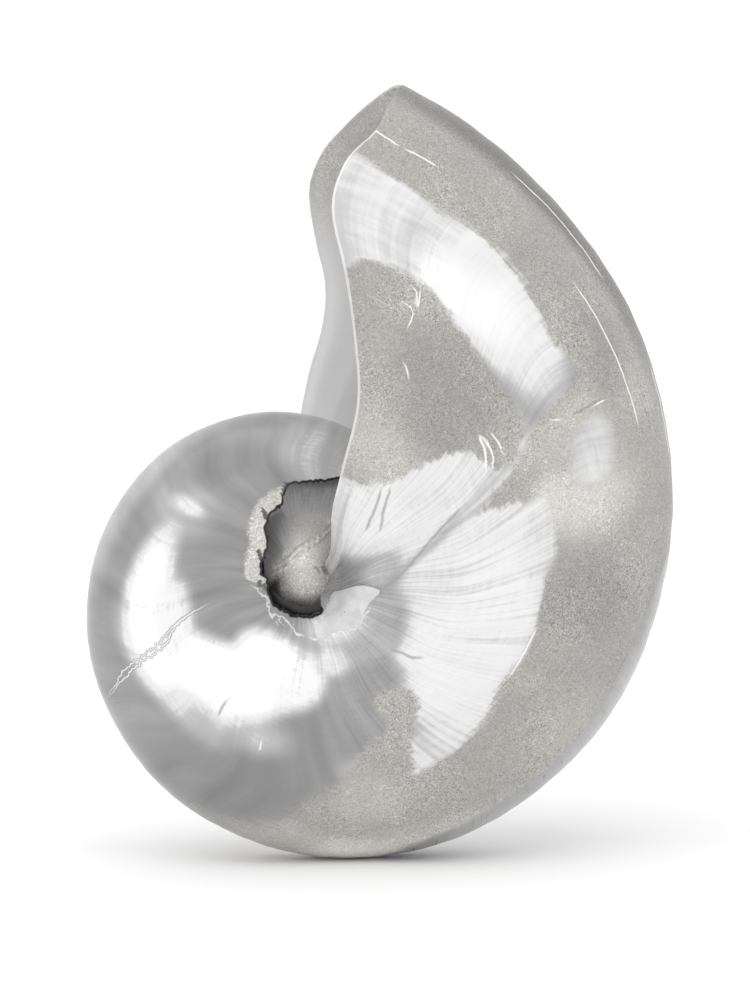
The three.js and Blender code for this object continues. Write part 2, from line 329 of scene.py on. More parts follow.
def carved(turn, girth):
    """How far the near flank is sunk along its crease and its scar, in millimetres."""
    sunk = 0 * turn
    shown = (girth < 0) & (turn > COVER_TURN)
    flat = flat_place(turn[shown], section(girth[shown])[:, 0])
    for marks, depth, half_width in CARVED:
        offset, weight, _ = line_offsets(flat, [flat_curve(mark) for mark in marks])
        sunk[shown] += depth * weight * np.exp(-((offset / half_width) ** 2))
    return sunk


def close_apex(line, radius, *sides):
    """Draws both faces in towards the axis of the first chamber."""
    left = np.clip((line - APEX_TURN) / APEX_ROUND, 0, 1)
    shrink = np.maximum(APEX_LEAST, np.sqrt(1 - (1 - left) ** 2))[..., None]
    middle = np.stack([APEX_MIDDLE * radius, 0 * radius], -1)
    return [(side - middle) * shrink + middle for side in sides]


def round_lip(faces, turn):
    """Adds rows to both faces that bring them together over a half round lip."""
    ahead = np.stack([-np.sin(np.radians(turn)), 0 * turn, np.cos(np.radians(turn))], -1)
    out, back = (face[-1] for face in faces)
    centre, half = (out + back) / 2, (out - back) / 2
    reach = np.linalg.norm(half, axis=-1, keepdims=True) * ahead
    for k in range(1, LIP_ROUND_ROWS + 1):
        angle = math.pi / 2 * k / LIP_ROUND_ROWS
        rows = [centre + sign * half * math.cos(angle) + reach * math.sin(angle) for sign in (1, -1)]
        faces = [np.vstack([face, row[None]]) for face, row in zip(faces, rows)]
    return faces


def wall_grids():
    """Outer and inner face points of the wall, with the turn, growth line and girth of each."""
    near = -GIRTH_END * (1 - np.linspace(0, 1, NEAR_COLUMNS + 1))
    far = GIRTH_END * np.linspace(0, 1, FAR_COLUMNS + 1)[1:]
    line, girth = np.meshgrid(growth_rows(), np.concatenate([near, far]), indexing="ij")
    turn = line + lead(girth)
    radius = venter_radius(turn, girth)
    normal = section_normal(girth)
    outer = section(girth) * radius[..., None]
    outer += normal * (relief(turn, line, girth) - carved(turn, girth))[..., None]
    thin = 1 - (1 - LIP_THIN) * np.clip(1 - (LIP_TURN - line) / LIP_THIN_OVER, 0, 1) ** 2
    inner = outer - normal * (wall_thickness(turn) * thin)[..., None]
    sides = close_apex(line, radius, outer, inner)
    faces = round_lip([about_pole(turn, side) for side in sides], turn[-1])
    turn, line, girth = (
        np.vstack([values] + [values[-1:]] * LIP_ROUND_ROWS) for values in (turn, line, girth)
    )
    return faces, turn, line, girth


# ---- where leaf, pearl and marks lie: (turn, rim) on a flank ----
LEAF_OUTLINES = (
    (
        (-113, 1.08), (-104, 0.93), (-93, 0.81), (-83, 0.69), (-78, 0.62), (-71, 0.56),
        (-63.5, 0.545), (-58.5, 0.475), (-58.5, 0.41), (-48, 0.42), (-49, 0.49), (-55.5, 0.54),
        (-60, 0.6), (-61, 0.66), (-66, 0.74), (-60, 0.715), (-50, 0.685), (-38, 0.65), (-28, 0.625),
        (0, 0.625), (20, 0.62), (23, 0.56), (24.5, 0.44), (27, 0.44), (30, 0.52), (33, 0.6),
        (37, 0.66), (39, 0.79), (52, 0.79), (66, 0.815), (76, 0.808), (84, 0.82), (100, 0.82),
        (100, 1.08),
    ),
    (
        (44, 0.62), (60, 0.615), (70, 0.64), (84, 0.64), (92, 0.5), (92, 0.25), (72, 0.235),
        (60, 0.28), (50, 0.36), (44, 0.46), (34, 0.52), (36, 0.58),
    ),
)
LEAF_GAPS = ((25, 0.77, 5.5, 0.07, 0, 1, 0.9), (-38, 1.0, 26, 0.06, 0, 1, 0.9))
PEARL_TONE = 0.61
# Each spot: turn, rim, half length in turn and in rim, lean, value, softness.
# Besides the pearl's own mottled tone, the spots that reach white are painted highlights on the coil and the
# fan, partly white pearl, and the light spot at turn -280 is painted light in the shade under the lip.
PEARL_TONE_AND_HIGHLIGHT_SPOTS = (
    (-268, 0.8, 12, 0.13, 0, 0.7, 0.6), (-208, 1, 28, 0.06, 0, 0.74, 0.6),
    (-211, 0.73, 12, 0.13, 0, 0.7, 0.6), (-188, 0.42, 22, 0.14, 0, 0.57, 0.6),
    (-104, 0.76, 14, 0.2, -50, 0.56, 0.5), (-90, 0.55, 9, 0.2, 0, 0.6, 0.5),
    (-176, 0.74, 26, 0.1, 0, 1, 0.35), (-135, 0.54, 25, 0.3, -100, 1.03, 0.25),
    (-118, 0.34, 28, 0.11, 0, 1.03, 0.3), (-97, 0.35, 13, 0.11, -60, 1, 0.4),
    (-168, 0.63, 14, 0.08, 0, 0.98, 0.5), (-74, 0.26, 14, 0.05, 0, 0.84, 0.5),
    (-280, 0.75, 16, 0.3, 0, 0.82, 0.6), (-58, 0.64, 20, 0.07, -40, 0.88, 0.4),
    (-14, 0.46, 44, 0.18, -10, 0.97, 0.2), (30, 0.46, 14, 0.2, 0, 0.9, 0.4),
    (-58, 0.36, 16, 0.07, 0, 0.62, 0.5), (-42, 0.25, 20, 0.05, 0, 0.71, 0.5),
    (-20, 0.19, 24, 0.05, 0, 0.7, 0.5), (-60, 0.15, 36, 0.06, 0, 0.84, 0.5),
    (12, 0.3, 24, 0.08, 0, 0.94, 0.5), (14, 0.17, 12, 0.04, 0, 0.75, 0.5),
    (54, 0.22, 26, 0.12, 0, 0.98, 0.4), (52, 0.72, 14, 0.09, 0, 0.92, 0.4),
    (66, 0.71, 16, 0.1, 0, 1.01, 0.4), (85, 0.68, 6, 0.12, 0, 0.85, 0.5),
    (76, 0.8, 20, 0.07, 0, 0.93, 0.5), (48, 0.38, 9, 0.1, 0, 0.93, 0.6),
    (14, 0.61, 10, 0.06, 0, 0.87, 0.6), (-38, 0.62, 12, 0.06, 0, 0.96, 0.6),
    (-236, 0.8, 14, 0.1, 0, 0.52, 0.6), (25, 0.36, 3.5, 0.12, 60, 0.84, 0.6),
    (25, 0.77, 8, 0.1, 0, 0.83, 0.6), (-38, 1, 34, 0.12, 0, 0.72, 0.6),
    (80, 0.69, 5, 0.1, 0, 0.82, 0.8), (84, 0.14, 14, 0.05, 0, 0.9, 0.6),
    (-130, 0.7, 10, 0.06, -60, 0.78, 0.8), (-109, 0.6, 9, 0.06, -60, 0.78, 0.8),
    (-213, 0.73, 3.2, 0.075, 0, 0.95, 0.7),
)
LEAF_TONE = 0.715
# Spots on the leaf: mostly its own cloudy tone, but the dark spot on the venter at turn 58 is painted shade
# where it turns away, and the light ones at turn -70 to -84, rim 1, are painted light against the floor's
# contact shadow.
LEAF_TONE_SHADE_AND_LIGHT_SPOTS = (
    (-45, 0.85, 6, 0.16, 0, 0.72, 0.6), (-28, 0.92, 8, 0.1, 0, 0.76, 0.6),
    (-70, 1, 26, 0.1, 0, 0.88, 0.6), (62, 0.32, 22, 0.08, 0, 0.8, 0.6),
    (20, 0.63, 6, 0.05, 0, 0.9, 0.6), (-3, 0.75, 8, 0.14, 0, 0.65, 0.6),
    (18, 0.73, 7, 0.12, 0, 0.88, 0.7), (31, 0.76, 5, 0.16, 0, 0.8, 0.6),
    (40, 0.86, 10, 0.05, 0, 0.68, 0.6), (-75, 0.75, 8, 0.1, 0, 0.79, 0.6),
    (56, 0.5, 14, 0.12, 0, 0.665, 0.6), (58, 1, 28, 0.045, 0, 0.5, 0.4),
    (-10, 1, 36, 0.06, 0, 0.66, 0.5), (-84, 1, 12, 0.08, 0, 1, 0.6),
    (-98, 0.93, 10, 0.08, 0, 0.82, 0.6),
)
# Lines drawn on the near flank, each through the (turn, rim) of a few points.
SCAR = (((-149, 1.0), (-155, 0.85), (-157, 0.75), (-159, 0.68), (-165, 0.6), (-171, 0.45)),)
# Bright lines: partly scratches, partly painted highlights along the venter's shoulder.
BRIGHT_SCRATCHES_AND_HIGHLIGHTS = (
    ((25, 0.9), (36, 0.901), (49.8, 0.897)),
    ((79, 0.878), (82.8, 0.886)),
    ((73.6, 0.878), (78.3, 0.878)),
    ((45, 0.967), (55, 0.97), (64, 0.968)),
    ((18, 0.985), (32, 0.988)),
    ((71.6, 0.654), (70.9, 0.615), (71.4, 0.591), (71.4, 0.559)),
    ((71.7, 0.613), (72.1, 0.64)),
    ((70.1, 0.503), (66.9, 0.472)),
    ((32.4, 0.83), (32.8, 0.79)),
    ((46.6, 0.493), (40.1, 0.501), (35.2, 0.484)),
    ((34.9, 0.505), (38.1, 0.517), (44.8, 0.51)),
    ((42.6, 0.537), (38.6, 0.544), (36.4, 0.539)),
    ((-10.5, 0.63), (-16.5, 0.627), (-25.9, 0.627)),
    ((-107.5, 0.64), (-108.5, 0.6)),
    ((34.6, 0.705), (35.6, 0.68)),
)
DARK_LINES = (
    ((-126, 0.63), (-127, 0.55)),
    ((-4.8, 0.16), (21, 0.281), (30.7, 0.403)),
    ((33, 0.815), (33.6, 0.742)),
    ((59.5, 0.266), (55, 0.212), (51, 0.17)),
    ((43.3, 0.198), (50.5, 0.228), (56, 0.279)),
    ((-38.5, 0.294), (-36.6, 0.326), (-35.6, 0.353), (-32.1, 0.385)),
)
# The crease: a groove sunk into the flank, and painted darker along it as shade.
CREASE = (((-8, 0.076), (1, 0.19), (15, 0.24), (29, 0.41)),)
# Marks that are also sunk: depth and half width in millimetres.
CARVED = ((CREASE, 0.4, 1.5), (SCAR, 0.2, 1.0))
FLANK_LINES = {"scar": SCAR, "bright": BRIGHT_SCRATCHES_AND_HIGHLIGHTS, "dark": DARK_LINES, "crease": CREASE}
MARKS = (*FLANK_LINES, "vein")

# ---- the hole broken through the near flank: (x, z) ----
BREAK_OUTLINE = (
    (-4.2, 21), (-5.5, 18.6), (-5.6, 16.8), (-8.3, 14.9), (-9.4, 11.8), (-8.8, 8.2), (-10.3, 4.4),
    (-10.3, 2.4), (-8.7, 1.3), (-8.8, -1.1), (-7.7, -4.1), (-3, -6.5), (0.4, -6.6), (2.4, -5.4),
    (3, -2), (3.4, 3), (5.2, 9), (11, 21.8), (7.4, 22), (0, 21.4),
)
BREAK_NEAREST = -22.0
BREAK_DEEPEST = -8.2
FLANGE_X = (1.0, 3.2)
FLANGE_NEAREST = -13.0
SEPTA_BREAK_DEEPEST = 5.0
SEPTA_GROWN = 1.9  # how far the septa are broken back beyond the hole's edge
NOTCHES = (
    ((-4.7, 20.9), (-5.4, 18.6)),
    ((-9.8, 15.8), (-9.2, 14.2)),
    ((-11, 7.3), (-10.3, 5.4)),
    ((-10.9, 0.8), (-10.6, -0.1)),
    ((-9.6, 0), (-9.3, -0.9)),
)
VEINS = (
    ((-13, 0.6), (-11.2, -1.1), (-9.3, -2.7), (-8.1, -5.8), (-5.2, -7.6), (-3, -9.8), (-1.1, -10.8)),
    ((-1.1, -10.8), (1.4, -11.4), (5.8, -8.8), (9, -8.4), (10.6, -5.6), (12, -3.4)),
    ((-9.6, -3.2), (-8.6, -5), (-8.4, -7), (-7.2, -8.6)),
)


def ragged_outline(jag=0.16, step=0.5, grow=0.0):
    """The hole's outline with a fine broken edge, or the same outline grown outwards."""
    random = np.random.default_rng(SEED)
    corners = np.array(BREAK_OUTLINE)
    points = []
    for start, end in zip(corners, np.roll(corners, -1, 0)):
        length = np.linalg.norm(end - start)
        across = np.array([start[1] - end[1], end[0] - start[0]]) / length
        count = max(2, int(length / step))
        for k in range(count):
            offset = random.normal(0, jag) if k else 0
            points.append(start + (end - start) * k / count - across * (offset + grow))
    return np.array(points)


def prism(name, outline, nearest, deepest):
    """A closed cutter; its near end steps back on the right, where the lip's flange stands in front."""
    count = len(outline)
    front = np.interp(outline[:, 0], FLANGE_X, (nearest, max(nearest, FLANGE_NEAREST)))
    rings = [np.insert(outline, 1, depth, axis=1) for depth in (front, deepest)]
    k = np.arange(count)
    sides = np.stack([k, (k + 1) % count, (k + 1) % count + count, k + count], 1).tolist()
    faces = sides + [k[::-1].tolist(), (k + count).tolist()]
    return new_mesh(name, np.vstack(rings), faces)


def cut(piece, cutter):
    modifier = piece.modifiers.new("break", "BOOLEAN")
    modifier.operation = "DIFFERENCE"
    modifier.solver = "MANIFOLD"
    modifier.object = cutter
    shown = bpy.context.evaluated_depsgraph_get()
    mesh = bpy.data.meshes.new_from_object(piece.evaluated_get(shown))
    piece.modifiers.clear()
    piece.data = mesh


# ---- what the wall's paint reads at each point ----
def vertices_from_pole(mesh):
    points = np.empty(len(mesh.vertices) * 3, np.float32)
    mesh.vertices.foreach_get("co", points)
    return points.reshape(-1, 3).astype(float) * 1000 - POLE


def store(mesh, **values):
    for name, value in values.items():
        layer = mesh.attributes.new(name, "FLOAT", "POINT")
        layer.data.foreach_set("value", np.ascontiguousarray(value, np.float32))


def nearest_index(sources, points):
    tree = kdtree.KDTree(len(sources))
    for k, source in enumerate(sources):
        tree.insert(source, k)
    tree.balance()
    return np.array([tree.find(point)[1] for point in points])


LEAF_FROM = -118.0  # the leaf keeps to growth angles beyond this
SHADED_EDGE_TO = -60.0  # the painted shade along the broken edge shows only on whorls inside this growth angle
FAR_SHIFT = 9.0  # degrees by which the far flank's pattern runs ahead of the near one's
BARE = -20.0  # a leaf depth at which no leaf shows
THINNED = -9.0  # one at which hardly any shows
COIL_STREAK = 0.2  # strength of the growth streaks on the coil; it rises to 1 on the body chamber
STREAK_RISE = (-90, 40)  # growth angle where the rise starts, and its degrees
STREAK_FALL = (50, 20)
STREAK_LOST, GAP_STREAK_LOST = 0.65, 0.85  # shares lost towards the lip and in the gaps of the leaf
LEAF_SOFT, COIL_SOFT, GAP_SOFT = 0.8, 2.6, 8  # half width of the leaf's boundary, and what it gains
COIL_SOFT_FROM, COIL_SOFT_OVER = -78, 12
BORDER = 3.6  # width of the leaf left round the hole
BORDER_FROM, BORDER_TO = 98, 184  # degrees about the pole between which it lies
BORDER_TAPERS = (20, 12)  # degrees over which it narrows at either end
BORDER_GLOW, BORDER_SOFT = 0.86, 0.6
BORDER_BEFORE = -100  # it lies on the whorl inside this growth angle
NOTCH_WIDTH, NOTCH_FADE, NOTCH_TONE = 0.55, 0.25, 0.24
INNERMOST = COVER_TURN - 50  # whorls inside this growth angle show only through the hole
HOLE_SHADE_TONE, HOLE_SHADE_LIFT, HOLE_SHADE_FADE = 0.14, 0.3, 4.0
SIDE_TONE = 0.8  # of the strip that shows beside the lip's flange
CAVITY_FROM = -45  # chambers inside this growth angle are painted darker than the body chamber, as shade
CAVITY_SHADE_TONE = 0.42
# the body chamber's inner face: tone and leaf tone painted lighter than the outer face's, as painted light
# against the shade inside the chamber
INSIDE = {"tone": 0.86, "soft": 12, "glow": 0.79, "streak": 0.02}
INSIDE_LEAF_FROM = 76  # height above the pole, in millimetres
FLANGE_WIDTH, FLANGE_TONE = 2.8, 0.82  # the plain band along the lip beside the pole
FLANGE_RIM, FLANGE_FADE = 0.25, 0.05
# the painted highlight along the lip reaches up to this rim
LIP_HIGHLIGHT_TO = 0.885
TURNED_AWAY = 0.9  # beyond this rim the flank turns away from the plane the marks are drawn on


def cover(paint, mask, **values):
    """Gives the points of a mask their own values in some channels of the paint."""
    for name, value in values.items():
        paint[name] = np.where(mask, value, paint[name])


def flank_paint(turn, pattern_turn, rim):
    """Leaf and pearl over both flanks; leaf is the depth inside the leaf, in millimetres."""
    pattern = flat_place(pattern_turn, rim)
    leaf = np.max([inside_depth(pattern, flat_curve(outline, True)) for outline in LEAF_OUTLINES], 0)
    gap = blend_spots(0 * rim, LEAF_GAPS, pattern_turn, rim)
    rise, fall = (smoothstep((turn - start) / over) for start, over in (STREAK_RISE, STREAK_FALL))
    streak = (COIL_STREAK + (1 - COIL_STREAK) * rise) * (1 - STREAK_LOST * fall)
    on_coil = smoothstep((COIL_SOFT_FROM - pattern_turn) / COIL_SOFT_OVER)
    return {
        "leaf": np.where(pattern_turn < LEAF_FROM, BARE, leaf + BARE * gap),
        "tone": blend_spots(PEARL_TONE + 0 * rim, PEARL_TONE_AND_HIGHLIGHT_SPOTS, pattern_turn, rim),
        "glow": blend_spots(LEAF_TONE + 0 * rim, LEAF_TONE_SHADE_AND_LIGHT_SPOTS, pattern_turn, rim),
        "streak": streak * (1 - GAP_STREAK_LOST * gap),
        "soft": LEAF_SOFT + COIL_SOFT * on_coil + GAP_SOFT * gap,
    }


def border_paint(paint, plane, near, turn, hole):
    """The crescent of leaf beside the hole, and the dark notches in it."""
    around = np.degrees(np.arctan2(plane[:, 1], plane[:, 0])) % 360
    first, last = BORDER_TAPERS
    width = BORDER * smoothstep((around - BORDER_FROM) / first) * smoothstep((BORDER_TO - around) / last)
    border = np.where(near & (hole > 0), width / 2 - np.abs(hole - width / 2), THINNED)
    whorl = near & (turn < BORDER_BEFORE)
    cover(paint, whorl, leaf=np.maximum(paint["leaf"], 2 * border))
    cover(paint, whorl & (border > 0), glow=BORDER_GLOW)
    cover(paint, whorl & (border > -3), soft=BORDER_SOFT)
    notch = line_offsets(plane, [np.array(mark) for mark in NOTCHES])[0]
    notch = near * smoothstep((NOTCH_WIDTH - np.abs(notch)) / NOTCH_FADE)
    paint["leaf"] = paint["leaf"] + THINNED * notch
    paint["tone"] = paint["tone"] - NOTCH_TONE * notch


def inside_paint(paint, points, turn, line, inside, hole):
    """The innermost whorls in painted shade where the hole shows them, darkest at its edge, and the wall's
    inner face, painted lighter against the chamber's shade and darker, as shade, in the chambers.
    """
    innermost = ~inside & (line < INNERMOST)
    # painted shade on the innermost whorls, darkest at the hole's edge
    depth = smoothstep(np.maximum(-hole, 0) / HOLE_SHADE_FADE)
    cover(paint, innermost, leaf=THINNED, tone=HOLE_SHADE_TONE + HOLE_SHADE_LIFT * depth)
    cover(paint, innermost & (points[:, 0] > 1.5) & (points[:, 2] > -3), tone=SIDE_TONE)
    cover(paint, inside, leaf=points[:, 2] - INSIDE_LEAF_FROM, **INSIDE)
    cover(paint, inside & (turn < CAVITY_FROM), leaf=THINNED, tone=CAVITY_SHADE_TONE)


def mark_paint(flat, rim, girth, near, covered):
    """Offsets and weights of the painted lines on the near flank."""
    curves = {name: [flat_curve(mark) for mark in drawn] for name, drawn in FLANK_LINES.items()}
    curves["vein"] = [curve_through(mark) for mark in VEINS]
    facing = np.sqrt(np.clip(np.abs(section_normal(girth)[:, 1]), 0.1, 1))
    facing = np.where(rim > TURNED_AWAY, facing, 1)  # keeps a mark from spreading round the venter
    hidden = np.where(near & ~covered, 0, 60)
    shown = np.flatnonzero(near)
    marks = {}
    for name in MARKS:
        values = np.full((3, len(rim)), [[FAR_OFF], [0], [0]])
        values[:, shown] = line_offsets(flat[shown], curves[name])
        offset, weight, along = values
        marks[name] = offset / facing + hidden
        marks[name + "_weight"] = weight
        if name == "scar":
            marks["scar_along"] = along
    return marks


def wall_paint(mesh, sources, turn, line, girth, inside):
    """Gives each point of the finished wall the paint of the nearest point of the uncut one."""
    points = vertices_from_pole(mesh)
    source = nearest_index(sources, points)
    turn, line, girth, inside = (values[source] for values in (turn, line, girth, inside))
    rim = section(girth)[:, 0]
    near = (girth < 0) & ~inside
    covered = line < COVER_TURN + lead(girth)
    plane = points[:, [0, 2]]
    hole = -inside_depth(plane, ragged_outline())

    paint = flank_paint(turn, np.where(girth < 0, turn, turn + FAR_SHIFT), rim)
    border_paint(paint, plane, near, turn, hole)
    inside_paint(paint, points, turn, line, inside, hole)
    marks = mark_paint(flat_place(turn, rim), rim, girth, near, covered)

    lip = np.radians(LIP_TURN - line) * rim * venter_radius(turn)
    flange = smoothstep((FLANGE_WIDTH - lip) / 0.4) * smoothstep((FLANGE_RIM - rim) / FLANGE_FADE) * near
    paint["streak"] = paint["streak"] * (1 - 0.8 * flange)
    paint["tone"] = paint["tone"] + (FLANGE_TONE - paint["tone"]) * flange
    # where the painted highlight along the lip shows
    lip = lip + 4 * smoothstep((0.2 - rim) / 0.05)
    lip = np.where((girth < 0) & (rim < LIP_HIGHLIGHT_TO), lip, FAR_OFF)
    # painted shade: the broken edge of the hole is painted near black along its outline
    edge = np.where((girth < 0) & (turn > COVER_TURN) & (turn < SHADED_EDGE_TO), hole, FAR_OFF)
    store(mesh, line=line, girth=girth, lip=lip, edge=edge, **paint, **marks)


def wall_piece():
    (outer, inner), turn, line, girth = wall_grids()
    rows, columns = turn.shape
    count = rows * columns
    fronts, backs = grid_faces(rows, columns), grid_faces(rows, columns, count, True)
    points = np.vstack([outer.reshape(-1, 3), inner.reshape(-1, 3)])
    piece = new_mesh("nautilus_wall", points, np.vstack([fronts, backs, rim_faces(rows, columns, count)]))
    cutter = prism("break_cutter", ragged_outline(), BREAK_NEAREST, BREAK_DEEPEST)
    cut(piece, cutter)
    bpy.data.objects.remove(cutter)
    turn, line, girth = (np.tile(values.ravel(), 2) for values in (turn, line, girth))
    wall_paint(piece.data, points, turn, line, girth, np.repeat([False, True], count))
    smooth(piece)
    return piece


# ---- septa ----
SEPTUM_COUNT = 30
LAST_SEPTUM = -42
SEPTUM_STEP = 23
SEPTUM_DISH = 15
SEPTUM_SHARE = 0.0085
SEPTUM_LEAST = 0.35
SEPTUM_WALL_GIRTH = 0.9
SEPTUM_COIL_GIRTH = 0.66
SIPHUNCLE_PLACE = 0.66
SIPHUNCLE_SHARE = 0.015
SIPHUNCLE_LEAST = 0.5
SIPHUNCLE_BORE = 0.6
SIPHUNCLE_SWELL = 0.16  # by which the tube swells inside each chamber
SEPTUM_INSET = 0.6  # how deep the plate's edge sits in the wall, as a share of the wall's thickness
COLLAR = 3.0  # degrees by which the plate turns back round the siphuncle
SEPTA_BREAK_FROM = -300
WALL_CELLS, SIDE_CELLS, COIL_CELLS, RING_CELLS = 44, 8, 28, 12


def siphuncle_radius(turn):
    return np.maximum(SIPHUNCLE_LEAST, SIPHUNCLE_SHARE * venter_radius(turn))


def septum_outline():
    """The plate's edge, once round, as (along, depth): along the wall and then back along the inner whorl."""
    corners = ((-1, 0), (1, 0), (1, 1), (-1, 1), (-1, 0))
    cells = (WALL_CELLS, SIDE_CELLS, COIL_CELLS, SIDE_CELLS)
    sides = zip(corners, corners[1:], cells)
    return np.vstack([np.linspace(start, end, count, endpoint=False) for start, end, count in sides])


def sheet_faces(rings, count):
    """Quads of a closed sheet: front and back faces of rings of points, and both free edges."""
    back = rings * count
    front = ring_faces(rings, count)
    k = np.arange(count)
    after = (k + 1) % count
    last = (rings - 1) * count
    bore = np.stack([after, k, k + back, after + back], 1)
    edge = np.stack([k + last, after + last, after + last + back, k + last + back], 1)
    return np.vstack([front, front[:, ::-1] + back, bore, edge])


def septum_piece(name, edge_turn, cutter):
    radius = float(venter_radius(np.float64(edge_turn)))
    inset = float(wall_thickness(edge_turn)) * SEPTUM_INSET / radius
    outline = septum_outline()
    share = np.linspace(0, 1, RING_CELLS + 1)[:, None, None]
    along, depth = np.moveaxis(np.array([0, 0.5]) + (outline - (0, 0.5)) * share, -1, 0)
    wall_girth = along * SEPTUM_WALL_GIRTH
    by_wall = section(wall_girth) - inset * section_normal(wall_girth)
    coil_girth = along * SEPTUM_COIL_GIRTH
    by_coil = section(coil_girth) * TURN_RATIO
    point = by_wall + (by_coil - by_wall) * depth[..., None]
    bowl = ((1 - along**2) * 4 * depth * (1 - depth)) ** 0.7
    rim_point = point[-1] - (SIPHUNCLE_PLACE, 0)
    around = np.arctan2(rim_point[:, 1], rim_point[:, 0])
    hole = float(siphuncle_radius(np.float64(edge_turn))) / radius
    ring = np.stack([SIPHUNCLE_PLACE + hole * np.cos(around), hole * np.sin(around)], -1)
    point = point + (ring - point[0]) * (1 - share) ** 3
    turn = edge_turn - SEPTUM_DISH * bowl - COLLAR * (1 - share[..., 0]) ** 8
    place = point * venter_radius(turn)[..., None]
    half = np.degrees(max(SEPTUM_LEAST, SEPTUM_SHARE * radius) / 2 / (point[..., 0] * radius))
    points = np.vstack([about_pole(turn + side * half, place).reshape(-1, 3) for side in (1, -1)])
    piece = new_mesh(name, points, sheet_faces(RING_CELLS + 1, len(outline)))
    if edge_turn >= SEPTA_BREAK_FROM:
        cut(piece, cutter)
    smooth(piece)
    return piece


def siphuncle_piece():
    first = LAST_SEPTUM - SEPTUM_DISH - (SEPTUM_COUNT - 1) * SEPTUM_STEP
    last = LAST_SEPTUM - SEPTUM_DISH + 4
    steps, sides = 300, 14
    around = np.arange(sides) * 2 * np.pi / sides
    turn, around = np.meshgrid(np.linspace(first, last, steps), around, indexing="ij")
    swell = 1 + SIPHUNCLE_SWELL * np.sin(np.pi * (turn - first) / SEPTUM_STEP) ** 2
    faces = []
    for share in (1, SIPHUNCLE_BORE):
        radius = siphuncle_radius(turn) * share * (swell if share == 1 else 1)
        distance = SIPHUNCLE_PLACE * venter_radius(turn) + radius * np.cos(around)
        place = np.stack([distance, radius * np.sin(around)], -1)
        faces.append(about_pole(turn, place).reshape(-1, 3))
    piece = new_mesh("siphuncle", np.vstack(faces), sheet_faces(steps, sides))
    smooth(piece)
    return piece


# ---- callus ----
NEAR_CALLUS_OUTLINE = (
    (4.7, -2.4), (6.6, -1.1), (10.2, 0.4), (13.8, -0.5), (11.8, -3.2), (10.5, -5.8), (9.8, -8.3),
    (7.7, -8.9), (4.6, -10.2), (1.6, -11.2), (0.8, -9), (2.6, -6.6),
)
NEAR_CALLUS_THICK = 0.5
NEAR_CALLUS_SUNK = 0.3  # how far its back lies inside the flank
NEAR_CALLUS_RAGGED = 0.025
FAR_CALLUS_RADIUS = 6.5
FAR_CALLUS_LOW = 9.0
FAR_CALLUS_HIGH = 15.5
FAR_CALLUS_SWIRL = 0.012
FAR_CALLUS_PROFILE = ((0, 0), (0.45, 0), (0.8, 0.4), (1, 0.65), (0.85, 0.86), (0.45, 0.97), (0, 1))


def near_callus_piece(rings=14, lumps=0.16):
    """A closed pad on the near flank that thins out to nothing at its outline."""
    random = np.random.default_rng(SEED + 1)
    edge = curve_through(NEAR_CALLUS_OUTLINE, 8, closed=True)
    edge = edge + random.normal(0, NEAR_CALLUS_RAGGED, edge.shape)
    middle = edge.mean(0)
    share = np.linspace(0.02, 1, rings)[:, None, None]
    x, z = np.moveaxis(middle + (edge - middle) * share, -1, 0)
    turn = np.degrees(np.arctan2(z, x))
    girth = -girth_at(np.hypot(x, z) / venter_radius(turn))
    radius = venter_radius(turn, girth)
    place, normal = section(girth) * radius[..., None], section_normal(girth)
    height = NEAR_CALLUS_THICK * (1 - share[..., 0] ** 2) ** 1.2
    waves = np.sin(x * 1.3 + 0.7 * z) + np.cos(z * 1.9 - 0.6 * x)
    height = height * (1 + lumps * waves)
    faces = []
    for lift in (height, 0 * height - NEAR_CALLUS_SUNK):
        faces.append(about_pole(turn, place + normal * lift[..., None]).reshape(-1, 3))
    piece = new_mesh("callus_near", np.vstack(faces), sheet_faces(rings, len(edge)))
    smooth(piece, 60)
    return piece


def far_callus_piece(sides=72):
    """A closed plug turned about the pole, with a low swirl on it."""
    radius, share = curve_through(FAR_CALLUS_PROFILE, 6).T
    y = FAR_CALLUS_LOW + share * (FAR_CALLUS_HIGH - FAR_CALLUS_LOW)
    middle = y.mean()
    around = np.arange(sides) * 2 * np.pi / sides
    radius, around = np.meshgrid(np.maximum(radius * FAR_CALLUS_RADIUS, 1e-4), around, indexing="ij")
    swirl = np.sin(around * 5 + radius * 1.6) + np.sin(around * 3 - radius * 0.9)
    y = middle + (y - middle)[:, None] * (1 + FAR_CALLUS_SWIRL * swirl)
    points = np.stack([radius * np.cos(around), y, radius * np.sin(around)], -1)
    piece = new_mesh("callus_far", points, ring_faces(len(radius), sides), 1e-6)
    smooth(piece, 60)
    return piece


# ---- the flank of the whorl inside, seen through the hole ----
RIDGE = ((-8.6, 1.0), (-6.4, 2.4), (-4.4, 3.6), (-1.6, 6.4), (0.9, 7.8), (3.6, 9.6), (6.2, 12.2))
DOME_LEAF = (
    (-8.6, 1.3), (-6.4, 3.4), (-4, 5.8), (-2, 8), (-3, 9.6), (-2.6, 11.6), (0, 13),
    (4, 13.4), (8, 12.6), (8.5, 4), (6, -4), (2.4, -5.2), (-1.2, -5), (-4, -3.6),
    (-5.1, -1.4), (-5.1, 1.6), (-8, 0.4),
)
